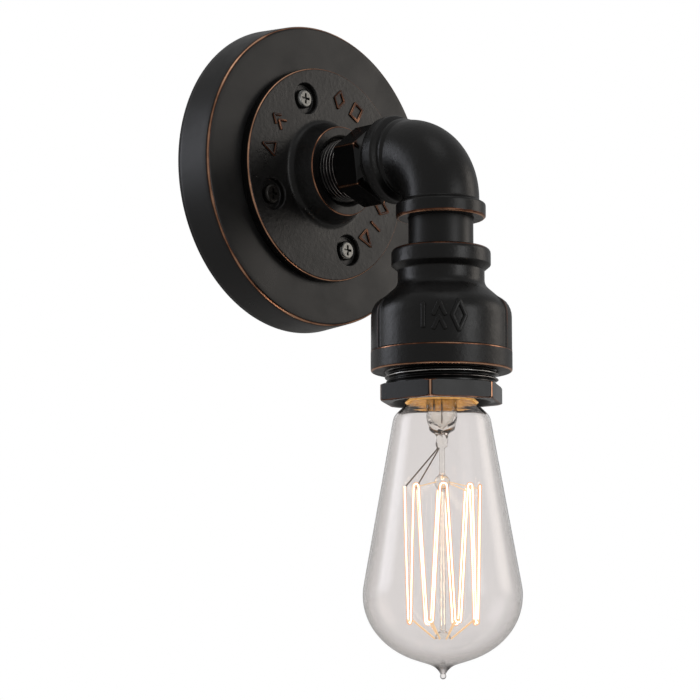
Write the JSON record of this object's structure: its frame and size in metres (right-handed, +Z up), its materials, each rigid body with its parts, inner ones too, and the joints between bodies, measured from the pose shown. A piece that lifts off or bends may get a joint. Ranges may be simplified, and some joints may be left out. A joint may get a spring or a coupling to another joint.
{
  "type": "wall light",
  "caption": "Wall light made of dark bronze pipe fittings: round pan and flange, threaded arm, elbow and bell reducer holding a bare filament bulb that screws into its lampholder.",
  "frame": {"origin": "middle of the pan's open back, on the wall and on the arm's axis", "axes": "+Z up, +Y into the wall, the arm points along -Y and +X is to the right for someone facing the wall"},
  "size_m": [0.1334, 0.12, 0.2828],
  "materials": {
    "bronze_sheet": "satin near-black bronze with a copper rub line on the front edge",
    "bronze_casting": "satin near-black bronze over a cast skin, copper on the edges",
    "bronze_pipe": "satin near-black bronze, copper on the corners",
    "zinc_steel": "zinc plated",
    "screw_steel": "dull nickel",
    "screw_dark": "black oxide",
    "green_screw": "green dyed zinc",
    "copper_wire": "bare copper",
    "connector_plastic": "moulded orange",
    "lead_black": "black insulation",
    "lead_white": "white insulation",
    "phenolic": "black moulded phenolic",
    "brass": "drawn brass",
    "solder": "solder",
    "vitrite": "black glass",
    "bulb_glass": "clear blown glass",
    "stem_glass": "clear lead glass",
    "filament": "glowing wire",
    "nickel_wire": "dull nickel wire"
  },
  "bodies": {
    "fixture": {"mounting_strap": "zinc_steel", "ground_screw": "green_screw", "ground_wire": "copper_wire", "canopy": "bronze_sheet", "flange": "bronze_casting", "mounting_screws": "screw_steel", "flange_screws": "screw_dark", "flange_nuts": "zinc_steel", "wire_connectors": "connector_plastic", "line_lead": "lead_black", "neutral_lead": "lead_white", "hex_nipple": "bronze_pipe", "elbow": "bronze_casting", "drop_nipple": "bronze_pipe", "reducer": "bronze_casting", "hex_bushing": "bronze_pipe", "lampholder_body": "phenolic", "screw_shell": "brass", "contact_rivet": "brass"},
    "contact": {"centre_contact": "brass"},
    "lamp_travel": {"lamp_contact": "solder", "lamp_insulator": "vitrite"},
    "bulb": {"lamp_cap": "brass", "bulb_glass": "bulb_glass", "stem": "stem_glass", "filament": "filament", "filament_hooks": "nickel_wire", "lead_in_wires": "nickel_wire"}
  },
  "joints": [
    {"name": "bulb_drop", "type": "slide", "parent": "fixture", "child": "lamp_travel", "axis": [0, 0, -1], "range_m": [0, 0.0218]},
    {"name": "bulb_turn", "type": "hinge", "parent": "lamp_travel", "child": "bulb", "pos_m": [0, -0.0878, -0.1045], "axis": [0, 0, -1], "range_deg": [0, 2160]},
    {"name": "contact_spring", "type": "hinge", "parent": "fixture", "child": "contact", "pos_m": [0.0065, -0.0878, -0.07805], "axis": [0, 1, 0], "range_deg": [0, 5], "stiffness_Nm_per_rad": 0.02}
  ],
  "couplings": [
    {"joint": "bulb_drop", "follows": "bulb_turn", "m_per_rad": 0.00057757}
  ]
}
